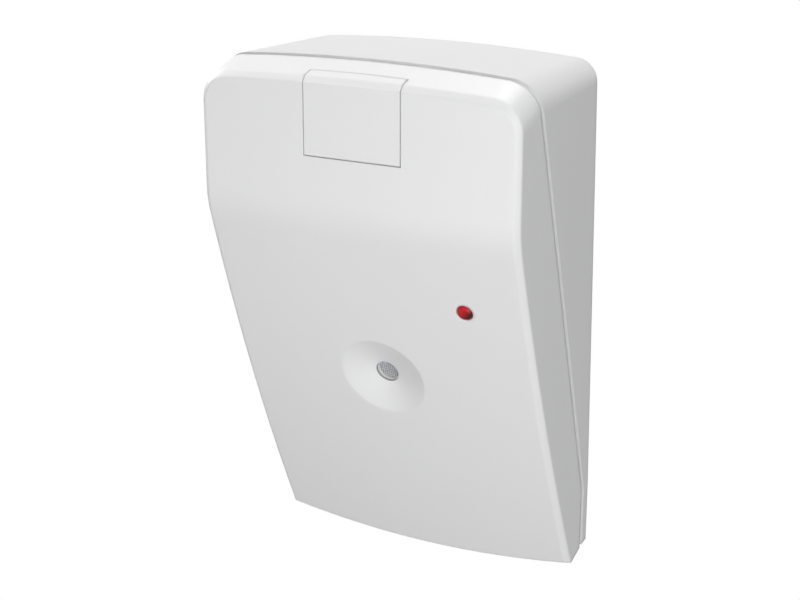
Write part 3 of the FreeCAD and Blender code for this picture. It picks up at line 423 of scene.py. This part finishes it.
plasticLook = {
    "grainScale": 3000.0,
    "grainDetail": 3.0,
    "grainDepth": 0.00001,
    "darkest": 0.8,
    "roughness": 0.45,
    "roughnessSpread": 0.15,
}
metalLook = {
    "strokeStretch": (1.0, 12.0, 1.0),
    "strokeScale": 2500.0,
    "strokeDetail": 3.0,
    "strokeDepth": 0.000006,
    "darkest": 0.75,
    "roughness": 0.3,
    "roughnessSpread": 0.2,
}
boardLook = {
    "lineScale": 250.0,
    "lineSway": 6.0,
    "lineDetail": 1.0,
    "lineStops": [(0.80, colour(0, 0, 0)), (0.84, colour(1, 1, 1))],
    "lineShade": colour(0.06, 0.30, 0.12),
    "lineHeight": 0.00003,
    "roughness": 0.3,
    "roughnessSpread": 0.1,
    "coat": 0.3,
    "coatRoughness": 0.15,
}


def darker(shade, share):
    return colour(*(share * part for part in shade[:3]))


def grainedPlastic(name, shade):
    look, finish = plasticLook, Finish(name)
    grain = finish.noise(look["grainScale"], look["grainDetail"])
    tone = finish.blend(grain, shade, darker(shade, look["darkest"]))
    normal = finish.bump(grain, look["grainDepth"])
    roughness = look["roughness"] + look["roughnessSpread"] * grain
    return finish.paint(Base_Color=tone, Roughness=roughness, Normal=normal)


def brushedMetal(name, shade):
    look, finish = metalLook, Finish(name, Metallic=1.0)
    feeds = {"Vector": finish.place(), "Scale": look["strokeStretch"]}
    stretch = finish.add("Mapping", feeds=feeds)
    feeds = {"Vector": stretch, "Scale": look["strokeScale"], "Detail": look["strokeDetail"]}
    strokes = finish.add("TexNoise", feeds=feeds)
    tone = finish.blend(strokes, shade, darker(shade, look["darkest"]))
    normal = finish.bump(strokes, look["strokeDepth"])
    roughness = look["roughness"] + look["roughnessSpread"] * strokes
    return finish.paint(Base_Color=tone, Roughness=roughness, Normal=normal)


def tracedBoard(name, shade):
    # green mask over copper lines, which stand a little proud and show lighter
    look = boardLook
    finish = Finish(name, Coat_Weight=look["coat"], Coat_Roughness=look["coatRoughness"])
    feeds = {"Vector": finish.place(), "Scale": look["lineScale"], "Distortion": look["lineSway"],
             "Detail": look["lineDetail"]}
    wave = finish.add("TexWave", {"bands_direction": "DIAGONAL"}, feeds)
    lines = finish.add("ValToRGB", {"stops": look["lineStops"]}, {"Fac": wave})
    tone = finish.blend(lines, shade, look["lineShade"])
    roughness = look["roughness"] + look["roughnessSpread"] * lines
    normal = finish.bump(lines, look["lineHeight"])
    return finish.paint(Base_Color=tone, Roughness=roughness, Normal=normal)


innerFinishes = {
    "zincSteel": (brushedMetal, colour(0.55, 0.56, 0.57),
                  ["cover_screw", "board_screws", "terminal_screws"]),
    "brassCage": (brushedMetal, colour(0.68, 0.50, 0.22), ["terminal_clamps"]),
    "drawnCan": (brushedMetal, colour(0.66, 0.66, 0.67), ["microphone_capsule", "clock_crystal"]),
    "solderMask": (tracedBoard, colour(0.03, 0.17, 0.07), ["circuit_board"]),
    "blackRubber": (grainedPlastic, colour(0.03, 0.03, 0.03), ["microphone_boot"]),
    "clearNylon": (grainedPlastic, colour(0.65, 0.64, 0.60), ["lamp_spacer", "trimmer_rotor"]),
    "greenTerminal": (grainedPlastic, colour(0.06, 0.30, 0.12), ["terminal_block"]),
    "relayCase": (grainedPlastic, colour(0.62, 0.62, 0.60), ["alarm_relay"]),
    "blackPlastic": (grainedPlastic, colour(0.025, 0.025, 0.027),
                     ["tamper_switch", "processor_chip", "amplifier_chip", "voltage_regulator",
                      "protection_diode", "jumper_header"]),
    "redPlastic": (grainedPlastic, colour(0.45, 0.03, 0.02),
                   ["tamper_plunger", "lamp_jumper", "range_jumper"]),
    "bluePlastic": (grainedPlastic, colour(0.04, 0.12, 0.40), ["trimmer_body"]),
    "canSleeve": (grainedPlastic, colour(0.04, 0.05, 0.16),
                  ["supply_capacitor", "coupling_capacitor"]),
}
for name, (makeFinish, shade, members) in innerFinishes.items():
    material = makeFinish(name, shade)
    for node in members:
        cover(node, material)
print("inner pieces finished")
makeScreen(screenLook)
print("screen woven")


# Floor, backdrop and light

stageLook = {
    "floorDrop": 0.30,
    "floorSize": 12.0,
    "floorShade": colour(0.15, 0.15, 0.15),
    "floorRoughness": 0.9,
    "worldLight": 0.18,
}


def whiteToCamera(tree, lit, glow):
    # the camera sees plain white, through clear pieces too, and everything else the lit surface
    path = tree.nodes.new("ShaderNodeLightPath")
    seen = tree.nodes.new("ShaderNodeMath")
    seen.operation = "MAXIMUM"
    tree.links.new(path.outputs["Is Camera Ray"], seen.inputs[0])
    tree.links.new(path.outputs["Is Transmission Ray"], seen.inputs[1])
    mix = tree.nodes.new("ShaderNodeMixShader")
    tree.links.new(seen.outputs[0], mix.inputs[0])
    tree.links.new(lit, mix.inputs[1])
    tree.links.new(glow, mix.inputs[2])
    return mix.outputs[0]


def makeFloor(look):
    low = cadBox[0].z - look["floorDrop"]
    half = look["floorSize"] / 2
    mesh = bpy.data.meshes.new("floor")
    corners = [(-half, -half, low), (half, -half, low), (half, half, low), (-half, half, low)]
    mesh.from_pydata(corners, [], [(0, 1, 2, 3)])
    floor = bpy.data.objects.new("floor", mesh)
    bpy.context.scene.collection.objects.link(floor)
    material = bpy.data.materials.new("paleFloor")
    material.use_nodes = True
    tree = material.node_tree
    shader = tree.nodes["Principled BSDF"]
    shader.inputs["Base Color"].default_value = look["floorShade"]
    shader.inputs["Roughness"].default_value = look["floorRoughness"]
    glow = tree.nodes.new("ShaderNodeEmission")
    shown = whiteToCamera(tree, shader.outputs[0], glow.outputs[0])
    tree.links.new(shown, tree.nodes["Material Output"].inputs["Surface"])
    mesh.materials.append(material)


def makeWorld(look):
    world = bpy.data.worlds.new("softRoom")
    world.use_nodes = True
    tree = world.node_tree
    lit = tree.nodes["Background"]
    lit.inputs["Strength"].default_value = look["worldLight"]
    lit.inputs["Color"].default_value = colour(1.0, 1.0, 1.0)
    glow = tree.nodes.new("ShaderNodeBackground")
    glow.inputs["Color"].default_value = colour(1.0, 1.0, 1.0)
    shown = whiteToCamera(tree, lit.outputs[0], glow.outputs[0])
    tree.links.new(shown, tree.nodes["World Output"].inputs["Surface"])
    bpy.context.scene.world = world


# Each lamp: azimuth and elevation in degrees round the object, distance, side, watts and tint
lamps = {
    "farLeft": {"azimuth": -100.0, "elevation": 25.0, "distance": 1.3, "side": 0.8, "watts": 14.0,
                "tint": (1.0, 1.0, 1.0)},
    "frontRight": {"azimuth": 50.0, "elevation": 10.0, "distance": 1.3, "side": 0.8, "watts": 10.45,
                   "tint": (0.985, 0.99, 1.0)},
    "lowFront": {"azimuth": 0.0, "elevation": -8.0, "distance": 0.42, "side": 0.3, "watts": 0.822,
                 "tint": (1.0, 1.0, 1.0)},
    "overhead": {"azimuth": 0.0, "elevation": 85.0, "distance": 1.3, "side": 0.8, "watts": 2.3,
                 "tint": (1.0, 1.0, 1.0)},
    "topBack": {"azimuth": 180.0, "elevation": 60.0, "distance": 1.3, "side": 0.8, "watts": 9.9,
                "tint": (1.0, 1.0, 1.0)},
}


def towards(place):
    # unit vector away from the object at an azimuth and elevation in degrees
    turn, lift = math.radians(place["azimuth"]), math.radians(place["elevation"])
    across = math.cos(lift)
    return Vector((math.sin(turn) * across, -math.cos(turn) * across, math.sin(lift)))


def makeLamps(rows):
    middle = (cadBox[0] + cadBox[1]) / 2
    for name, row in rows.items():
        data = bpy.data.lights.new(name, "AREA")
        data.shape = "SQUARE"
        data.size = row["side"]
        data.energy = row["watts"]
        data.color = row["tint"]
        lamp = bpy.data.objects.new(name, data)
        lamp.location = middle + towards(row) * row["distance"]
        lamp.rotation_euler = (lamp.location - middle).to_track_quat("Z", "Y").to_euler()
        lamp.visible_camera = False
        bpy.context.scene.collection.objects.link(lamp)


makeFloor(stageLook)
makeWorld(stageLook)
makeLamps(lamps)
print("stage lit")


# Camera at the photograph's viewing angle

cameraPlace = {
    "azimuth": 27.684,
    "elevation": 18.599,
    "distance": 0.33984,
    "target": (-0.004116, -0.013, 0.000872),
    "focalPixels": 1676.2,
    "sensor": 36.0,
    "frameWidth": 800,
    "nearest": 0.01,
}


def makeCamera(place):
    data = bpy.data.cameras.new("camera")
    data.sensor_width = place["sensor"]
    data.lens = place["sensor"] * place["focalPixels"] / place["frameWidth"]
    data.clip_start = place["nearest"]
    camera = bpy.data.objects.new("camera", data)
    back = towards(place)
    camera.location = Vector(place["target"]) + back * place["distance"]
    camera.rotation_euler = back.to_track_quat("Z", "Y").to_euler()
    bpy.context.scene.collection.objects.link(camera)
    bpy.context.scene.camera = camera


makeCamera(cameraPlace)
bpy.context.scene.view_settings.view_transform = "Standard"
